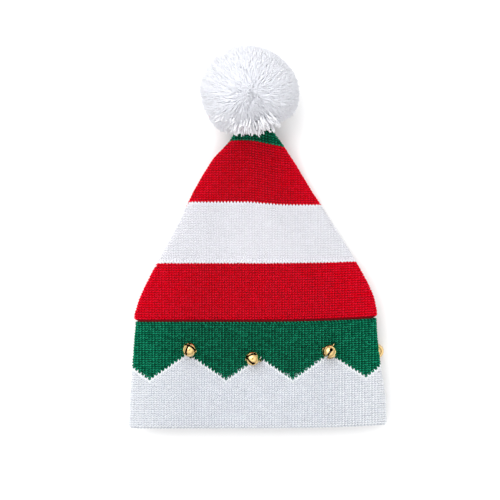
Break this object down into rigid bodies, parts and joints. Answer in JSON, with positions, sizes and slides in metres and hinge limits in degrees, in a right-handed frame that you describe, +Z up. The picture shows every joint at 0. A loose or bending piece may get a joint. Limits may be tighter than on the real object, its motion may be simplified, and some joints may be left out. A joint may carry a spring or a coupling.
{
  "type": "elf hat",
  "caption": "Knitted elf hat lying flat on its back: striped crown, turned-up cuff with a zigzag border, yarn pompom and small jingle bells round the cuff.",
  "frame": {"origin": "on the table, under the middle of the hat's bounding box, with the hat lying on its back", "axes": "+X across the hat, +Y from the hem towards the pompom, +Z up from the table, out of the hat's front"},
  "size_m": [0.2316, 0.3416, 0.0835],
  "materials": {
    "knit_red": "stocking-stitch acrylic knit, red, with a white stripe and a green tip",
    "knit_green": "stocking-stitch acrylic knit, green above a white zigzag",
    "knit_white": "stocking-stitch acrylic knit, white",
    "pompom_yarn": "cut acrylic yarn, white, fluffy",
    "gold_plate": "bright gold-plated steel",
    "steel_ball": "plain steel ball",
    "sewing_thread": "green sewing thread"
  },
  "bodies": {
    "root": {"crown": "knit_red", "cuff": "knit_green", "pompom": "pompom_yarn", "bell_front_left": "gold_plate", "bell_front_middle": "gold_plate", "bell_front_right": "gold_plate", "bell_side_right": "gold_plate", "bell_side_left": "gold_plate", "bell_back_right": "gold_plate", "bell_back_left": "gold_plate", "pellet_front_left": "steel_ball", "pellet_front_middle": "steel_ball", "pellet_front_right": "steel_ball", "pellet_side_right": "steel_ball", "pellet_side_left": "steel_ball", "pellet_back_right": "steel_ball", "pellet_back_left": "steel_ball"}
  },
  "joints": []
}
